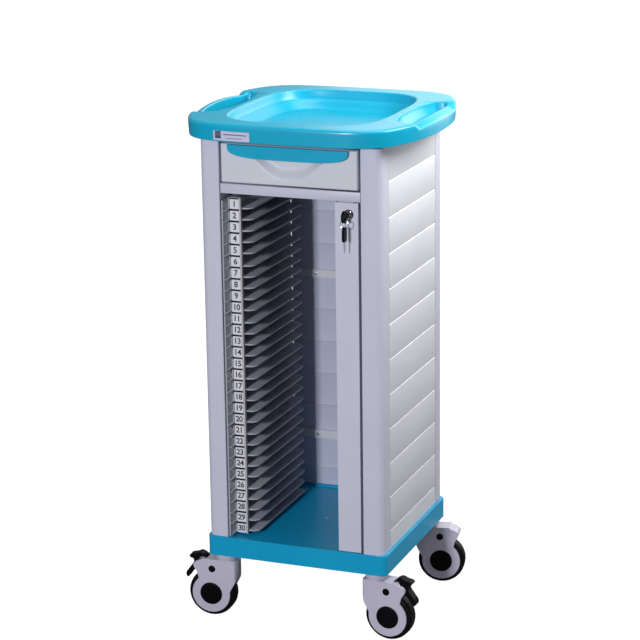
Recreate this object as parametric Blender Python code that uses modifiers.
"""Chart trolley: a moulded hospital cart that carries flat chart binders on thirty pairs of ledges.

The origin is on the floor under the middle of the body. The front is -Y, the right is +X and up is +Z.
Sizes in the constants and in the shape functions are millimetres; the objects are in metres.
"""

import math

import bmesh
import bpy
from mathutils import Matrix

MM = 0.001
GAP = 0.3  # between two pieces that touch
RUNNING = 0.06  # between a shaft and the bore it turns in
ROUND_SIDES = 24
WHEEL_SIDES = 32

# Body
WIDTH = 418.0
DEPTH = 408.0
BASE_BOTTOM = 152.0
BASE_TOP = 197.0
BASE_WALL = 4.0
BASE_FLOOR_TOP = 192.0
BASE_FLOOR_BOTTOM = 187.0
BASE_CORNER = 14.0
BOSS_RADIUS = 20.0
BODY_X = 203.5  # outer face of the posts, either side
BODY_Y = 201.5  # outer face of the posts, front and back
BODY_TOP = 1087.7
POST_INNER_X = 158.0
POST_FRONT_END = 151.3  # where the front posts end, measured back from the middle
POST_REAR_START = 154.0
POST_CORNER = 16.0
POST_WALL = 2.5
PANEL_THICK = 2.4
BEAD_DEPTH = 1.5
BEAD_HALF = 2.4
BEADS = 11
BEAD_FIRST = 1011.3
BEAD_PITCH = 77.2
BACK_PANEL_Y = 196.0
RAIL_BOTTOM = 974.0
RAIL_TOP = 994.5
RAIL_BACK = -181.0
BRACE_DEPTH = 5.5
BRACES = {"upper": (699.5, 718.0), "lower": (311.0, 331.5)}

# Top tray
TRAY_BOTTOM = 1094.0
TRAY_TOP = 1132.0
TRAY_HALF_X = 249.0
TRAY_HALF_Y = 258.0
TRAY_MIDDLE_Y = 5.0
TRAY_BULGE = 18.0  # the two sides swell by this much round the push bars
TRAY_BULGE_HALF = 190.0
TRAY_POWER = 4.7  # the outline is a superellipse of this power
TRAY_EDGE = 6.0
TRAY_WALL = 3.5
TRAY_FLOOR = 1091.5
TRAY_UNDERSIDE = 1088.0
RECESS_X = 180.0
RECESS_Y = 207.0
RECESS_MIDDLE_Y = 3.0
RECESS_POWER = 4.5
RECESS_STEP = 1111.0
GRIP_MIDDLE_Y = 8.0
GRIP_HALF_LENGTH = 128.0
GRIP_INNER_X = 208.0
GRIP_OUTER_X = 241.0
GRIP_MOUTH_X = 193.0
GRIP_BAR_TOP = 1124.5

# Chart racks
MODULES = 6
LEDGES = 5
MODULE_PITCH = 126.5
LEDGE_PITCH = 24.65
FIRST_LEDGE = 934.0
LEDGE_THICK = 3.0
LEDGE_TIP_X = 103.0
LEDGE_FRONT = -163.0
LEDGE_REAR = 130.0
LEDGE_CORNER = 18.0
RACK_OUTER_X = 157.7
RACK_WALL = 3.0
RACK_REAR = 186.0
RACK_FRONT = {"left": -199.0, "right": -180.0}
RACK_HEIGHT = 126.0
RACK_ABOVE = 22.6  # from the first ledge of a module up to the module's top edge

# Number strip
STRIP_BOTTOM = 198.0
STRIP_TOP = 958.0
STRIP_LEFT = -152.5
STRIP_RIGHT = -123.5
STRIP_FACE = -167.0
STRIP_LIP = 3.5
CARD_THICK = 0.6

# Drawer
DRAWER_HALF = 153.5
DRAWER_BOTTOM = 997.8
DRAWER_TOP = 1080.8
DRAWER_FRONT_BACK = -184.5
BOX_HALF = 149.0
BOX_REAR = 160.0
BOX_BOTTOM = 1002.7
BOX_TOP = 1070.0
BOX_WALL = 3.0
HANDLE_HALF = 136.0
HANDLE_DROP = 28.5
HANDLE_THICK = 8.0
SCOOP_HALF = 87.0
SCOOP_MIDDLE_Z = 1052.0
SCOOP_DROP = 38.0
SCOOP_RISE = 21.0
SCOOP_DEPTH = 12.5

# Strip door and its lock
DOOR_LEFT = 101.5
DOOR_RIGHT = 153.0
DOOR_BOTTOM = 199.0
DOOR_TOP = 971.5
DOOR_BACK = -187.5
DOOR_WALL = 2.5
HINGE_X = 149.8
HINGE_Y = -198.3
HINGE_PIN = 1.8
LOCK_X = 132.0
LOCK_Z = 947.0
BARREL_RADIUS = 8.5
BEZEL_RADIUS = 10.5
PLUG_RADIUS = 5.4
CAM_REACH = 36.0
CAM_FACE = -179.7
KEY_RADIUS = 13.0
KEY_HOLE = 9.6
KEY_MIDDLE_Y = -228.0
KEY_THICK = 4.5
RING_RADIUS = 9.2
RING_WIRE = 0.8
RING_DROP = 5.4  # from the middle of the key's rim down to the ring's centre
SPARE_EYE = 2.3
SPARE_HEAD = 31.0
SPARE_BLADE = 24.0

# Casters
WHEEL_RADIUS = 54.0
TRAIL = 33.0
CASTERS = {
    "front_left": (-177.0, -171.0, 184.0),
    "front_right": (177.0, -171.0, -3.0),
    "rear_left": (-178.0, 178.0, 180.0),
    "rear_right": (178.0, 178.0, 10.0),
}
BRAKED = ("front_left", "front_right")
FORK_HALF = 20.5
FORK_TOP = 135.0
WELL_HALF = 16.7
WELL_RADIUS = 57.0
CHEEK_RADIUS = 44.0
AXLE_RADIUS = 5.0
HUB_CAP_RADIUS = 25.8
STEM_RADIUS = 5.5
NECK_RADIUS = 24.0
PEDAL_PIVOT = (58.0, 121.0)
PEDAL_PIN = 3.0
PEDAL_HALF = 11.0

COLOURS = {
    "cyan_abs": ((0.02, 0.36, 0.60), 0.25, 0.0),
    "lilac_abs": ((0.48, 0.48, 0.62), 0.4, 0.0),
    "panel_abs": ((0.72, 0.75, 0.80), 0.4, 0.0),
    "drawer_abs": ((0.56, 0.58, 0.65), 0.4, 0.0),
    "rack_abs": ((0.04, 0.04, 0.05), 0.5, 0.0),
    "strip_abs": ((0.60, 0.60, 0.66), 0.4, 0.0),
    "card_paper": ((0.80, 0.80, 0.84), 0.6, 0.0),
    "black_plastic": ((0.01, 0.01, 0.01), 0.4, 0.0),
    "tyre_rubber": ((0.015, 0.015, 0.017), 0.6, 0.0),
    "steel": ((0.55, 0.55, 0.57), 0.3, 1.0),
    "fork_nylon": ((0.46, 0.44, 0.58), 0.4, 0.0),
}


# ---------------------------------------------------------------- scene, collections and materials
def clear_scene():
    for old in list(bpy.data.objects):
        bpy.data.objects.remove(old, do_unlink=True)


def collection(name):
    made = bpy.data.collections.new(name)
    bpy.context.scene.collection.children.link(made)
    return made


def material(name):
    colour, roughness, metallic = COLOURS[name]
    made = bpy.data.materials.new(name)
    made.use_nodes = True
    shader = made.node_tree.nodes["Principled BSDF"]
    shader.inputs["Base Color"].default_value = (*colour, 1.0)
    shader.inputs["Roughness"].default_value = roughness
    shader.inputs["Metallic"].default_value = metallic
    return made


def keep(obj, finish):
    """Puts a finished piece in the trolley's collection with its material."""
    PARTS.objects.link(obj)
    obj.data.materials.clear()
    obj.data.materials.append(MATERIALS[finish])
    return obj


def as_cutter(obj):
    CUTTERS.objects.link(obj)
    obj.hide_render = True
    obj.display_type = "WIRE"
    return obj


def combine(obj, other, operation):
    modifier = obj.modifiers.new(operation.lower() + "_" + other.name, "BOOLEAN")
    modifier.operation = operation
    modifier.object = as_cutter(other)
    return obj


def cut(obj, cutter):
    return combine(obj, cutter, "DIFFERENCE")


def join(obj, other):
    return combine(obj, other, "UNION")


def pivot(name, place):
    """An empty on a joint's axis."""
    axis = bpy.data.objects.new(name, None)
    axis.location = [value * MM for value in place]
    PARTS.objects.link(axis)
    return axis


def hang(obj, axis):
    """Parents a piece that is already in its place to its joint's empty."""
    obj.parent = axis
    obj.matrix_parent_inverse = Matrix.Translation(-axis.location)
    return obj


def bore(radius, sides=ROUND_SIDES):
    """The corner radius of a many-sided bore whose flats clear a shaft by a running fit."""
    return (radius + RUNNING) / math.cos(math.pi / sides)


def baked(obj):
    """The piece's mesh with its modifiers applied, for pieces that share one shape."""
    as_cutter(obj)
    bpy.context.view_layer.update()
    graph = bpy.context.evaluated_depsgraph_get()
    return bpy.data.meshes.new_from_object(obj.evaluated_get(graph))


# ---------------------------------------------------------------- outlines
def arc(x, y, radius, start, end, steps):
    """Points on a circle from one angle to another, in degrees, both ends included."""
    points = []
    for i in range(steps + 1):
        angle = math.radians(start + (end - start) * i / steps)
        points.append((x + radius * math.cos(angle), y + radius * math.sin(angle)))
    return points


def circle(x, y, radius, steps):
    return arc(x, y, radius, 0, 360, steps)[:-1]


def rounded(low_x, low_y, high_x, high_y, radii, steps=4):
    """A rectangle with its corners rounded: radii from the low corner, anticlockwise."""
    corners = ((low_x, low_y, 1, 1, 180), (high_x, low_y, -1, 1, 270), (high_x, high_y, -1, -1, 0),
               (low_x, high_y, 1, -1, 90))
    points = []
    for (x, y, across, up, start), radius in zip(corners, radii):
        if radius:
            points += arc(x + across * radius, y + up * radius, radius, start, start + 90, steps)
        else:
            points.append((x, y))
    return points


def superellipse(half_x, half_y, power, middle_y, steps):
    points = []
    for i in range(steps):
        angle = 2 * math.pi * i / steps
        across, along = math.cos(angle), math.sin(angle)
        x = half_x * math.copysign(abs(across) ** (2 / power), across)
        y = half_y * math.copysign(abs(along) ** (2 / power), along)
        points.append((x, middle_y + y))
    return points


# ---------------------------------------------------------------- solids
AXES = {
    "Z": Matrix.Identity(4),
    "X": Matrix(((0, 0, 1, 0), (1, 0, 0, 0), (0, 1, 0, 0), (0, 0, 0, 1))),  # outline in Y, Z
    "Y": Matrix(((1, 0, 0, 0), (0, 0, -1, 0), (0, 1, 0, 0), (0, 0, 0, 1))),  # outline in X, Z
}


def plate(name, outlines, low, high, axis="Z"):
    """A flat outline, with any holes, extruded from low to high along an axis."""
    curve = bpy.data.curves.new(name, "CURVE")
    curve.dimensions = "2D"
    curve.fill_mode = "BOTH"
    curve.extrude = (high - low) / 2 * MM
    for outline in outlines:
        spline = curve.splines.new("POLY")
        spline.points.add(len(outline) - 1)
        for point, (x, y) in zip(spline.points, outline):
            point.co = (x * MM, y * MM, 0, 1)
        spline.use_cyclic_u = True
    flat = bpy.data.objects.new(name + "_outline", curve)
    bpy.context.scene.collection.objects.link(flat)
    bpy.context.view_layer.update()
    graph = bpy.context.evaluated_depsgraph_get()
    mesh = bpy.data.meshes.new_from_object(flat.evaluated_get(graph))
    bpy.data.objects.remove(flat, do_unlink=True)
    middle = (low + high) / 2 * MM
    # On the Y axis the outline's own third direction points to -Y.
    lift = Matrix.Translation((0, 0, -middle if axis == "Y" else middle))
    mesh.transform(AXES[axis] @ lift)
    body = bmesh.new()
    body.from_mesh(mesh)
    bmesh.ops.remove_doubles(body, verts=body.verts, dist=1e-6)
    bmesh.ops.recalc_face_normals(body, faces=body.faces)
    body.to_mesh(mesh)
    body.free()
    mesh.name = name
    return bpy.data.objects.new(name, mesh)


def box(name, low, high):
    body = bmesh.new()
    bmesh.ops.create_cube(body, size=1.0)
    size = [(b - a) * MM for a, b in zip(low, high)]
    middle = [(a + b) / 2 * MM for a, b in zip(low, high)]
    bmesh.ops.scale(body, vec=size, verts=body.verts)
    bmesh.ops.translate(body, vec=middle, verts=body.verts)
    mesh = bpy.data.meshes.new(name)
    body.to_mesh(mesh)
    body.free()
    return bpy.data.objects.new(name, mesh)


def cylinder(name, middle, radius, low, high, axis="Z", sides=ROUND_SIDES):
    """A round bar along an axis; middle is its centre in the two other directions, in their own order."""
    return plate(name, [circle(*middle, radius, sides)], low, high, axis)


def turned(name, profile, sides, axis="Z"):
    """A closed profile of (radius, height) points turned about the axis through the object's origin."""
    mesh = bpy.data.meshes.new(name)
    body = bmesh.new()
    loop = [body.verts.new((radius * MM, 0, height * MM)) for radius, height in profile]
    on_axis = profile[0][0] == 0 and profile[-1][0] == 0
    for start, end in zip(loop, loop[1:]):
        body.edges.new((start, end))
    if not on_axis:
        body.edges.new((loop[-1], loop[0]))
    body.to_mesh(mesh)
    body.free()
    obj = bpy.data.objects.new(name, mesh)
    screw = obj.modifiers.new("turn", "SCREW")
    screw.steps = sides
    screw.render_steps = sides
    screw.use_merge_vertices = True
    screw.merge_threshold = 0.00001
    if axis == "Y":
        obj.rotation_euler = (math.radians(90), 0, 0)
    return obj


def loft(name, rings):
    """A closed solid through rings of equal point count, each a list of (x, y) at one height, top first."""
    body = bmesh.new()
    loops = []
    for outline, height in rings:
        loops.append([body.verts.new((x * MM, y * MM, height * MM)) for x, y in outline])
    for upper, lower in zip(loops, loops[1:]):
        count = len(upper)
        for i in range(count):
            after = (i + 1) % count
            body.faces.new((upper[i], lower[i], lower[after], upper[after]))
    body.faces.new(loops[0])
    body.faces.new(loops[-1][::-1])
    bmesh.ops.recalc_face_normals(body, faces=body.faces)
    mesh = bpy.data.meshes.new(name)
    body.to_mesh(mesh)
    body.free()
    return bpy.data.objects.new(name, mesh)


# ---------------------------------------------------------------- base tray
def base_tray():
    half_x, half_y = WIDTH / 2, DEPTH / 2
    outline = rounded(-half_x, -half_y, half_x, half_y, [BASE_CORNER] * 4)
    tray = plate("base_tray", [outline], BASE_BOTTOM, BASE_TOP)
    hollow_x, hollow_y = half_x - BASE_WALL, half_y - BASE_WALL
    hollow = [rounded(-hollow_x, -hollow_y, hollow_x, hollow_y, [BASE_CORNER - BASE_WALL] * 4)]
    bosses = [circle(x, y, BOSS_RADIUS, 16) for x, y, _ in CASTERS.values()]
    cut(tray, plate("base_hollow", hollow + bosses, BASE_BOTTOM - 5, BASE_FLOOR_BOTTOM))
    cut(tray, plate("base_floor", [rounded(-152, -196, 152, 188, [6] * 4, 2)], BASE_FLOOR_TOP, BASE_TOP + 5))
    stems = [circle(x, y, bore(STEM_RADIUS), ROUND_SIDES) for x, y, _ in CASTERS.values()]
    cut(tray, plate("base_stem_bores", stems, BASE_BOTTOM - 5, BASE_FLOOR_BOTTOM - 1))
    hinge = (HINGE_X, HINGE_Y)
    cut(tray, cylinder("base_hinge_bore", hinge, bore(HINGE_PIN), BASE_FLOOR_BOTTOM + 1, BASE_TOP + 5))
    keep(tray, "cyan_abs")


# ---------------------------------------------------------------- posts, panels, braces and rail
def post(name, side, front):
    """A hollow extrusion with its outer corner rounded. side and front are 1 or -1."""
    near = POST_FRONT_END if front > 0 else POST_REAR_START
    lows = (POST_INNER_X, near)
    highs = (BODY_X, BODY_Y)
    outer = rounded(lows[0], lows[1], highs[0], highs[1], [1.5, 3, POST_CORNER, 3])
    wall = POST_WALL
    radii = [0, 0, POST_CORNER - wall, 0]
    inner = rounded(lows[0] + wall, lows[1] + wall, highs[0] - wall, highs[1] - wall, radii)
    turn = 1 if front < 0 else -1
    outlines = [[(side * x, turn * y) for x, y in loop] for loop in (outer, inner)]
    keep(plate(name, outlines, BASE_TOP + GAP, BODY_TOP), "lilac_abs")


def beaded(low, high, face, outward):
    """The cross-section of a formed sheet: (across, up) points, with a bead at each groove height.

    face is the outer face's place across, and outward is 1 or -1.
    """
    outer, inner = [(face, low)], [(face - outward * PANEL_THICK, low)]
    for i in reversed(range(BEADS)):
        z = BEAD_FIRST - BEAD_PITCH * i
        for loop, start in ((outer, face), (inner, face - outward * PANEL_THICK)):
            loop += [(start, z - BEAD_HALF), (start - outward * BEAD_DEPTH, z), (start, z + BEAD_HALF)]
    outer.append((face, high))
    inner.append((face - outward * PANEL_THICK, high))
    return outer + inner[::-1]


def panels():
    low, high = BASE_TOP + GAP, BODY_TOP
    for name, side in (("side_panel_left", -1), ("side_panel_right", 1)):
        # The Y direction takes an (X, Z) outline, so the side panels run front to back.
        outline = beaded(low, high, side * (BODY_X - 0.6), side)
        keep(plate(name, [outline], -POST_FRONT_END + GAP, POST_REAR_START - GAP, "Y"), "panel_abs")
    outline = beaded(low, high, BACK_PANEL_Y + PANEL_THICK, 1)
    half = POST_INNER_X - GAP
    keep(plate("back_panel", [outline], -half, half, "X"), "panel_abs")


def braces():
    half = POST_INNER_X - GAP
    front = BACK_PANEL_Y - BEAD_DEPTH - BRACE_DEPTH
    for name, (low, high) in BRACES.items():
        lip = [(front, low), (front + BRACE_DEPTH - GAP, low), (front + BRACE_DEPTH - GAP, low + 2.5),
               (front + 2.5, low + 2.5), (front + 2.5, high - 2.5),
               (front + BRACE_DEPTH - GAP, high - 2.5), (front + BRACE_DEPTH - GAP, high), (front, high)]
        keep(plate("back_brace_" + name, [lip], -half, half, "X"), "panel_abs")


def cross_rail():
    half = POST_INNER_X - GAP
    section = rounded(-half, -BODY_Y, half, RAIL_BACK, [0.8] * 4, 2)
    rail = plate("cross_rail", [section], RAIL_BOTTOM, RAIL_TOP)
    cut(rail, cylinder("rail_hinge_bore", (HINGE_X, HINGE_Y), bore(HINGE_PIN), RAIL_BOTTOM - 5, RAIL_TOP - 6))
    keep(rail, "lilac_abs")


# ---------------------------------------------------------------- top tray
TRAY_STEPS = 64


def tray_outline(inset):
    points = []
    for x, y in superellipse(TRAY_HALF_X - inset, TRAY_HALF_Y - inset, TRAY_POWER, 0, TRAY_STEPS):
        swell = max(0.0, 1 - (y / TRAY_BULGE_HALF) ** 2) ** 1.5
        points.append((x + math.copysign(TRAY_BULGE * swell, x) if abs(x) > 1 else x, TRAY_MIDDLE_Y + y))
    return points


def recess_outline(inset):
    return superellipse(RECESS_X - inset, RECESS_Y - inset, RECESS_POWER, RECESS_MIDDLE_Y, 48)


def grip_outline(side, inner_x, outer_x, half_length):
    """A slot beside the rim: its inner edge bows towards the middle of the tray."""
    low, high = GRIP_MIDDLE_Y - half_length, GRIP_MIDDLE_Y + half_length
    inner = []
    for i in range(9):
        t = -1 + i / 4
        inner.append((inner_x + 14.0 * t ** 4, GRIP_MIDDLE_Y + t * (half_length - 6)))
    points = [(outer_x, high - 8), (outer_x, low + 8), (outer_x - 8, low)] + inner + [(outer_x - 8, high)]
    return [(side * x, y) for x, y in points]


def top_tray():
    rings = [(tray_outline(TRAY_EDGE), TRAY_TOP), (tray_outline(1.5), TRAY_TOP - 2.5),
             (tray_outline(0), TRAY_TOP - 7),
             (tray_outline(0), TRAY_BOTTOM)]
    tray = loft("top_tray", rings)
    pan = [(recess_outline(-6), TRAY_BOTTOM + 8), (recess_outline(-4), TRAY_UNDERSIDE + 4),
           (recess_outline(10), TRAY_UNDERSIDE)]
    join(tray, loft("tray_pan", pan))
    recess = [(recess_outline(-1), TRAY_TOP + 3), (recess_outline(0), TRAY_TOP - 1),
              (recess_outline(5), RECESS_STEP),
              (recess_outline(9), RECESS_STEP - 1), (recess_outline(21), TRAY_FLOOR + 2),
              (recess_outline(26), TRAY_FLOOR)]
    cut(tray, loft("tray_recess", recess))
    for name, side in (("left", -1), ("right", 1)):
        mouth = grip_outline(side, GRIP_MOUTH_X, GRIP_OUTER_X + 2, GRIP_HALF_LENGTH + 6)
        throat = grip_outline(side, GRIP_INNER_X, GRIP_OUTER_X, GRIP_HALF_LENGTH)
        grip = [(mouth, TRAY_TOP + 3), (mouth, TRAY_TOP - 2), (throat, TRAY_BOTTOM + 8),
                (throat, TRAY_BOTTOM - 3)]
        cut(tray, loft("tray_grip_" + name, grip))
        # The bar outside the slot is lower than the rim, with a short ramp at each end.
        low, high = GRIP_MIDDLE_Y - GRIP_HALF_LENGTH, GRIP_MIDDLE_Y + GRIP_HALF_LENGTH
        dip = [(low - 4, TRAY_TOP + 3), (low + 18, GRIP_BAR_TOP), (high - 18, GRIP_BAR_TOP),
               (high + 4, TRAY_TOP + 3)]
        ends = sorted((side * (GRIP_OUTER_X - 3), side * (TRAY_HALF_X + 20)))
        cut(tray, plate("tray_bar_dip_" + name, [dip], ends[0], ends[1], "X"))
    for name, end in (("front", -1), ("rear", 1)):
        # The rim is hollow from below in front of the recess and behind it.
        low, high = sorted((end * (RECESS_Y + 14), end * (TRAY_HALF_Y - TRAY_WALL - 10)))
        hollow = rounded(-190, low, 190, high, [8] * 4, 2)
        cut(tray, plate("tray_hollow_" + name, [hollow], TRAY_BOTTOM - 10, TRAY_TOP - 8))
    keep(tray, "cyan_abs")


# ---------------------------------------------------------------- chart racks and number strip
def rack_module(name, side, front):
    """A wall with five ledges, its first ledge at height 0, for one side of the bay."""
    wall_inner = RACK_OUTER_X - RACK_WALL
    low = RACK_ABOVE - RACK_HEIGHT + GAP
    teeth = [(RACK_OUTER_X, low), (RACK_OUTER_X, RACK_ABOVE), (wall_inner, RACK_ABOVE)]
    for i in range(LEDGES):
        z = -LEDGE_PITCH * i
        teeth += [(wall_inner, z + LEDGE_THICK / 2), (LEDGE_TIP_X, z + LEDGE_THICK / 2),
                  (LEDGE_TIP_X, z - LEDGE_THICK / 2), (wall_inner, z - LEDGE_THICK / 2)]
    teeth.append((wall_inner, low))
    rack = plate(name, [[(side * x, z) for x, z in teeth]], front, RACK_REAR, "Y")
    # What is cut away leaves the ledges shorter than the wall, with round inner corners.
    reach = wall_inner - 0.4
    keep_ledge = rounded(LEDGE_TIP_X, LEDGE_FRONT, reach, LEDGE_REAR, [LEDGE_CORNER, 0, 0, LEDGE_CORNER], 4)
    tip = LEDGE_TIP_X - 10
    front_edge = [point for point in keep_ledge if point[1] < 0]
    rear_edge = [point for point in keep_ledge if point[1] > 0]
    loops = [[(tip, front - 10), (reach, front - 10)] + front_edge[::-1] + [(tip, front_edge[0][1])],
             [(tip, rear_edge[-1][1])] + rear_edge[::-1] + [(reach, RACK_REAR + 10), (tip, RACK_REAR + 10)]]
    loops = [[(side * x, y) for x, y in loop] for loop in loops]
    cut(rack, plate(name + "_waste", loops, low - 5, RACK_ABOVE + 5))
    return baked(rack)


def racks():
    for name, side in (("left", -1), ("right", 1)):
        mesh = rack_module("rack_shape_" + name, side, RACK_FRONT[name])
        for i in range(MODULES):
            rack = keep(bpy.data.objects.new(f"rack_{name}_{i + 1}", mesh), "rack_abs")
            rack.location.z = (FIRST_LEDGE - MODULE_PITCH * i) * MM


def number_strip():
    left, right, face = STRIP_LEFT, STRIP_RIGHT, STRIP_FACE
    back = LEDGE_FRONT - GAP
    channel = [(left, back), (left, face - STRIP_LIP), (left + 1.5, face - STRIP_LIP), (left + 1.5, face),
               (right - 4, face), (right - 4, face - STRIP_LIP), (right, face - STRIP_LIP), (right, back)]
    keep(plate("label_holder", [channel], STRIP_BOTTOM, STRIP_TOP), "strip_abs")
    card = [(left + 1.8, face - GAP - CARD_THICK), (right - 4.3, face - GAP - CARD_THICK),
            (right - 4.3, face - GAP), (left + 1.8, face - GAP)]
    keep(plate("number_card", [card], STRIP_BOTTOM + 1, STRIP_TOP - 1), "card_paper")


# ---------------------------------------------------------------- drawer
def handle_outline():
    points = [(HANDLE_HALF, DRAWER_TOP), (-HANDLE_HALF, DRAWER_TOP)]
    for i in range(1, 20):
        angle = math.radians(180 + 9 * i)
        across, down = math.cos(angle), -math.sin(angle)
        x = HANDLE_HALF * math.copysign(abs(across) ** (2 / 3.4), across)
        points.append((x, DRAWER_TOP - HANDLE_DROP * down ** (2 / 3.4)))
    return points


def drawer():
    slide = pivot("drawer_slide", (0, 0, DRAWER_BOTTOM))
    front = plate("drawer_front", [rounded(-DRAWER_HALF, DRAWER_BOTTOM, DRAWER_HALF, DRAWER_TOP, [2] * 4, 2)],
                  -BODY_Y, DRAWER_FRONT_BACK, "Y")
    scoop = bmesh.new()
    bmesh.ops.create_uvsphere(scoop, u_segments=24, v_segments=12, radius=1.0)
    for vert in scoop.verts:
        rise = SCOOP_RISE if vert.co.z > 0 else SCOOP_DROP
        x, y, z = vert.co
        vert.co = (x * SCOOP_HALF * MM, (y * SCOOP_DEPTH - BODY_Y) * MM, (z * rise + SCOOP_MIDDLE_Z) * MM)
    mesh = bpy.data.meshes.new("drawer_scoop")
    scoop.to_mesh(mesh)
    scoop.free()
    cut(front, bpy.data.objects.new("drawer_scoop", mesh))
    hang(keep(front, "drawer_abs"), slide)
    tub = box("drawer_box", (-BOX_HALF, DRAWER_FRONT_BACK + GAP, BOX_BOTTOM), (BOX_HALF, BOX_REAR, BOX_TOP))
    wall = BOX_WALL
    cut(tub, box("drawer_inside", (-BOX_HALF + wall, DRAWER_FRONT_BACK + GAP + wall, BOX_BOTTOM + wall),
                 (BOX_HALF - wall, BOX_REAR - wall, BOX_TOP + 5)))
    hang(keep(tub, "drawer_abs"), slide)
    handle = plate("drawer_handle", [handle_outline()], -BODY_Y - GAP - HANDLE_THICK, -BODY_Y - GAP, "Y")
    hang(keep(handle, "cyan_abs"), slide)
    for name, side in (("left", -1), ("right", 1)):
        outer, ledge = RACK_OUTER_X, BOX_BOTTOM - GAP
        rail = [(outer, ledge + 38), (outer - 2.5, ledge + 38), (outer - 2.5, ledge), (outer - 18, ledge),
                (outer - 18, ledge - 2.8), (outer, ledge - 2.8)]
        section = [(side * x, z) for x, z in rail]
        keep(plate("drawer_guide_" + name, [section], DRAWER_FRONT_BACK + 1, 190, "Y"), "steel")


# ---------------------------------------------------------------- strip door, lock and keys
def strip_door():
    hinge = pivot("door_hinge", (HINGE_X, HINGE_Y, DOOR_BOTTOM))
    left, right, back, wall = DOOR_LEFT, DOOR_RIGHT, DOOR_BACK, DOOR_WALL
    # A channel open at the back, with a solid block round the hinge line.
    section = [(left, -BODY_Y + 1), (left + 1, -BODY_Y), (right - 1, -BODY_Y), (right, -BODY_Y + 1),
               (right, back), (right - 13, back), (right - 13, -BODY_Y + wall),
               (left + wall, -BODY_Y + wall), (left + wall, back),
               (left, back)]
    door = plate("lock_door", [section], DOOR_BOTTOM, DOOR_TOP)
    ends = (("bottom", DOOR_BOTTOM - 5, DOOR_BOTTOM + 20), ("top", DOOR_TOP - 20, DOOR_TOP + 5))
    for name, low, high in ends:
        cut(door, cylinder("door_pin_bore_" + name, (HINGE_X, HINGE_Y), HINGE_PIN + GAP, low, high))
    lock = (LOCK_X, LOCK_Z)
    cut(door, cylinder("door_lock_bore", lock, BARREL_RADIUS + GAP, -BODY_Y - 5, DOOR_BACK + 5, "Y"))
    hang(keep(door, "lilac_abs"), hinge)
    pins = (("door_pin_bottom", BASE_FLOOR_BOTTOM + 2, DOOR_BOTTOM + 19),
            ("door_pin_top", DOOR_TOP - 19, RAIL_TOP - 8))
    for name, low, high in pins:
        hang(keep(cylinder(name, (HINGE_X, HINGE_Y), HINGE_PIN, low, high), "steel"), hinge)


def key_bow(rim):
    """Outline of the key's bow and shank, in Y and Z, with the shank's end at the lock's face."""
    root = KEY_MIDDLE_Y + 8
    return arc(KEY_MIDDLE_Y, LOCK_Z, rim, 32, 328, 22) + [(root + 6, LOCK_Z - 4.5), (-208.9, LOCK_Z - 3),
                                                          (-208.9, LOCK_Z + 3), (root + 6, LOCK_Z + 4.5)]


def lock():
    front = BODY_Y + GAP
    back = -CAM_FACE + 2.3
    # A profile turned about Y grows towards the front: height h is at y = -h.
    barrel = turned("lock_barrel", [
         (bore(PLUG_RADIUS), front + 3), (BEZEL_RADIUS - 1.5, front + 3), (BEZEL_RADIUS, front + 1.5),
         (BEZEL_RADIUS, front),
        (BARREL_RADIUS, front), (BARREL_RADIUS, back), (bore(PLUG_RADIUS), back)], ROUND_SIDES, "Y")
    core = [(0, front + 3.4), (PLUG_RADIUS, front + 3.4), (PLUG_RADIUS, back - 2), (0, back - 2)]
    plug = turned("lock_plug", core,
                  ROUND_SIDES, "Y")
    for piece, finish in ((barrel, "black_plastic"), (plug, "steel")):
        keep(piece, finish).location = (LOCK_X * MM, 0, LOCK_Z * MM)
    turn = pivot("lock_axis", (LOCK_X, 0, LOCK_Z))
    cam = rounded(LOCK_X - CAM_REACH, LOCK_Z - 5, LOCK_X + 6, LOCK_Z + 5, [4] * 4, 3)
    hang(keep(plate("lock_cam", [cam], CAM_FACE, CAM_FACE + 2.4, "Y"), "steel"), turn)
    # The bow is a loop, standing upright, so that the ring can slide round its rim.
    hole = circle(KEY_MIDDLE_Y, LOCK_Z, KEY_HOLE, 22)
    half = KEY_THICK / 2
    key = plate("door_key", [key_bow(KEY_RADIUS), hole], LOCK_X - half, LOCK_X + half, "X")
    hang(keep(key, "black_plastic"), turn)


def spare_keys():
    rim_z = LOCK_Z - (KEY_RADIUS + KEY_HOLE) / 2
    hook = pivot("ring_hook", (LOCK_X, KEY_MIDDLE_Y, rim_z))
    ring_z = rim_z - RING_DROP
    place = (LOCK_X * MM, KEY_MIDDLE_Y * MM, ring_z * MM)
    bpy.ops.mesh.primitive_torus_add(major_radius=RING_RADIUS * MM, minor_radius=RING_WIRE * MM,
                                     major_segments=28,
                                     minor_segments=6, location=place, rotation=(math.radians(90), 0, 0))
    ring = bpy.context.object
    ring.name = "key_ring"
    for holder in list(ring.users_collection):
        holder.objects.unlink(ring)
    hang(keep(ring, "steel"), hook)
    eye_z = ring_z - RING_RADIUS
    top = eye_z + 4.5
    shoulder, tip = top - SPARE_HEAD, top - SPARE_HEAD - SPARE_BLADE
    y = KEY_MIDDLE_Y
    head = arc(y, top - 8.5, 8.5, 0, 180, 10)
    blade = [(y - 8.5, shoulder + 2), (y - 6.5, shoulder), (y - 3, shoulder), (y - 3, tip + 2), (y, tip),
             (y + 3, tip + 2),
             (y + 3, shoulder), (y + 6.5, shoulder), (y + 8.5, shoulder + 2)]
    eye = circle(y, eye_z, SPARE_EYE, 10)
    hang(keep(plate("spare_key", [head + blade, eye], LOCK_X - 2, LOCK_X + 2, "X"), "black_plastic"), hook)


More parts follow.
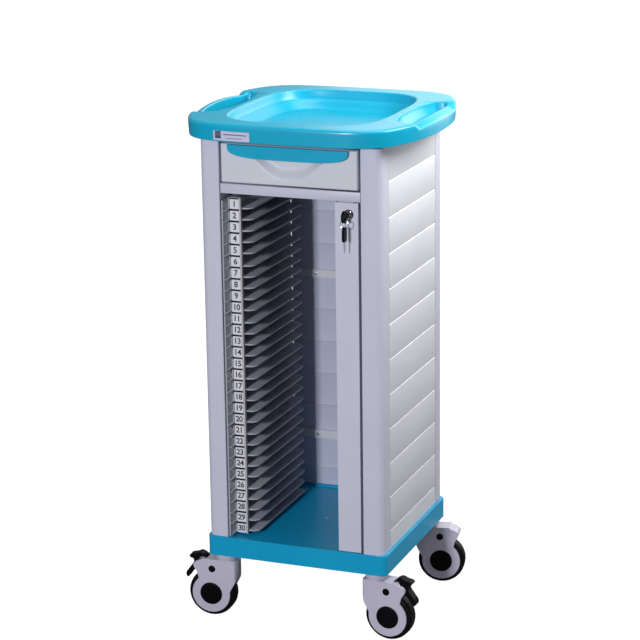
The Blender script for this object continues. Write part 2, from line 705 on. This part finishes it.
# ---------------------------------------------------------------- casters
def fork_outline():
    """Side view of the housing: the swivel axis is at 0 and the wheel's centre at TRAIL."""
    x, z = TRAIL, WHEEL_RADIUS
    disc = arc(x, z, CHEEK_RADIUS, 168, 410, 22)
    shoulder = [(65, 100), (67, 108), (73, 113), (74, 120), (68, 126), (54, FORK_TOP), (-18, FORK_TOP)]
    return disc + shoulder + [(-23, FORK_TOP - 5), (-25, 116), (-24, 101), (-13, 74)]


def fork_mesh(name, braked):
    fork = plate(name, [fork_outline()], -FORK_HALF, FORK_HALF, "Y")
    # The nose over the swivel axis is round from above.
    nose = arc(0, 0, FORK_HALF + 4.5, 90, 270, 12) + [(110, -FORK_HALF - 4.5), (110, FORK_HALF + 4.5)]
    combine(fork, plate(name + "_plan", [nose], -5, 200), "INTERSECT")
    well = arc(TRAIL, WHEEL_RADIUS, WELL_RADIUS, 0, 180, 20)
    well += [(TRAIL - WELL_RADIUS, -10), (TRAIL + WELL_RADIUS, -10)]
    cut(fork, plate(name + "_well", [well], -WELL_HALF, WELL_HALF, "Y"))
    cut(fork, cylinder(name + "_axle_bore", (TRAIL, WHEEL_RADIUS), AXLE_RADIUS + GAP, -40, 40, "Y"))
    cut(fork, cylinder(name + "_stem_bore", (0, 0), bore(STEM_RADIUS), 108, 150))
    if braked:
        cut(fork, box(name + "_pedal_slot", (43, -PEDAL_HALF - 1.5, 92), (120, PEDAL_HALF + 1.5, 160)))
        pin = cylinder(name + "_pedal_pin", PEDAL_PIVOT, PEDAL_PIN, -PEDAL_HALF - 3, PEDAL_HALF + 3, "Y")
        join(fork, pin)
    return baked(fork)


def axle_profile():
    cheek, cap = FORK_HALF + GAP, FORK_HALF + 3.3
    return [(0, cap), (HUB_CAP_RADIUS - 2, cap), (HUB_CAP_RADIUS, cap - 1.5), (HUB_CAP_RADIUS, cheek),
            (AXLE_RADIUS, cheek), (AXLE_RADIUS, -cheek), (HUB_CAP_RADIUS, -cheek),
            (HUB_CAP_RADIUS, 1.5 - cap), (HUB_CAP_RADIUS - 2, -cap), (0, -cap)]


def wheel_profile():
    r = WHEEL_RADIUS
    hub = bore(AXLE_RADIUS, WHEEL_SIDES)
    half = [(hub, 15.8), (12, 15.8), (16, 12), (38, 12), (41, 14.5), (r - 5, 15), (r - 1.5, 13), (r, 8)]
    return half + [(radius, -height) for radius, height in reversed(half)]


def pedal_outline():
    return [(44, 131), (46, 137), (51, 142), (57, 145), (63, 145.5), (70, 142), (84, 139), (87, 135),
            (84, 131), (76, 127), (76, 122), (84, 110.5), (89.5, 103), (94, 97.5), (95.5, 92), (94.5, 87),
            (92, 84), (88.5, 85), (86, 89.5), (82.5, 94), (76.5, 101), (70, 107.5), (66, 113), (60, 115.5),
            (52, 115.5), (48, 121)]


def stem_profile():
    top, neck, low = BASE_FLOOR_BOTTOM - 2, BASE_BOTTOM - GAP, FORK_TOP + GAP
    return [(0, top), (STEM_RADIUS, top), (STEM_RADIUS, neck), (NECK_RADIUS - 1, neck),
            (NECK_RADIUS, neck - 1), (NECK_RADIUS, low), (STEM_RADIUS, low), (STEM_RADIUS, 111), (0, 111)]


def casters():
    forks = {True: fork_mesh("fork_shape_braked", True), False: fork_mesh("fork_shape_plain", False)}
    for corner, (x, y, yaw) in CASTERS.items():
        swivel = pivot("swivel_" + corner, (x, y, 0))
        swivel.rotation_euler.z = math.radians(yaw)
        fork = keep(bpy.data.objects.new("caster_fork_" + corner, forks[corner in BRAKED]), "fork_nylon")
        axle = keep(turned("caster_axle_" + corner, axle_profile(), ROUND_SIDES, "Y"), "black_plastic")
        wheel = keep(turned("wheel_" + corner, wheel_profile(), WHEEL_SIDES, "Y"), "tyre_rubber")
        for piece in (axle, wheel):
            piece.location = (TRAIL * MM, 0, WHEEL_RADIUS * MM)
        for piece in (fork, axle, wheel):
            piece.parent = swivel
        if corner in BRAKED:
            eye = circle(*PEDAL_PIVOT, bore(PEDAL_PIN), ROUND_SIDES)
            pedal = plate("brake_pedal_" + corner, [pedal_outline(), eye], -PEDAL_HALF, PEDAL_HALF, "Y")
            place = (PEDAL_PIVOT[0] * MM, 0, PEDAL_PIVOT[1] * MM)
            pedal.data.transform(Matrix.Translation(place).inverted())
            pedal.location = place
            keep(pedal, "black_plastic").parent = swivel
        stem = keep(turned("caster_stem_" + corner, stem_profile(), ROUND_SIDES), "fork_nylon")
        stem.location = (x * MM, y * MM, 0)


def shade():
    for obj in PARTS.objects:
        if obj.type == "MESH":
            obj.data.shade_smooth()
            obj.data.set_sharp_from_angle(angle=math.radians(35))


clear_scene()
PARTS = collection("chart_trolley")
CUTTERS = collection("cutters")
MATERIALS = {name: material(name) for name in COLOURS}

base_tray()
post("post_front_left", -1, 1)
post("post_front_right", 1, 1)
post("post_rear_left", -1, -1)
post("post_rear_right", 1, -1)
panels()
braces()
cross_rail()
top_tray()
racks()
number_strip()
drawer()
strip_door()
lock()
spare_keys()
casters()
shade()
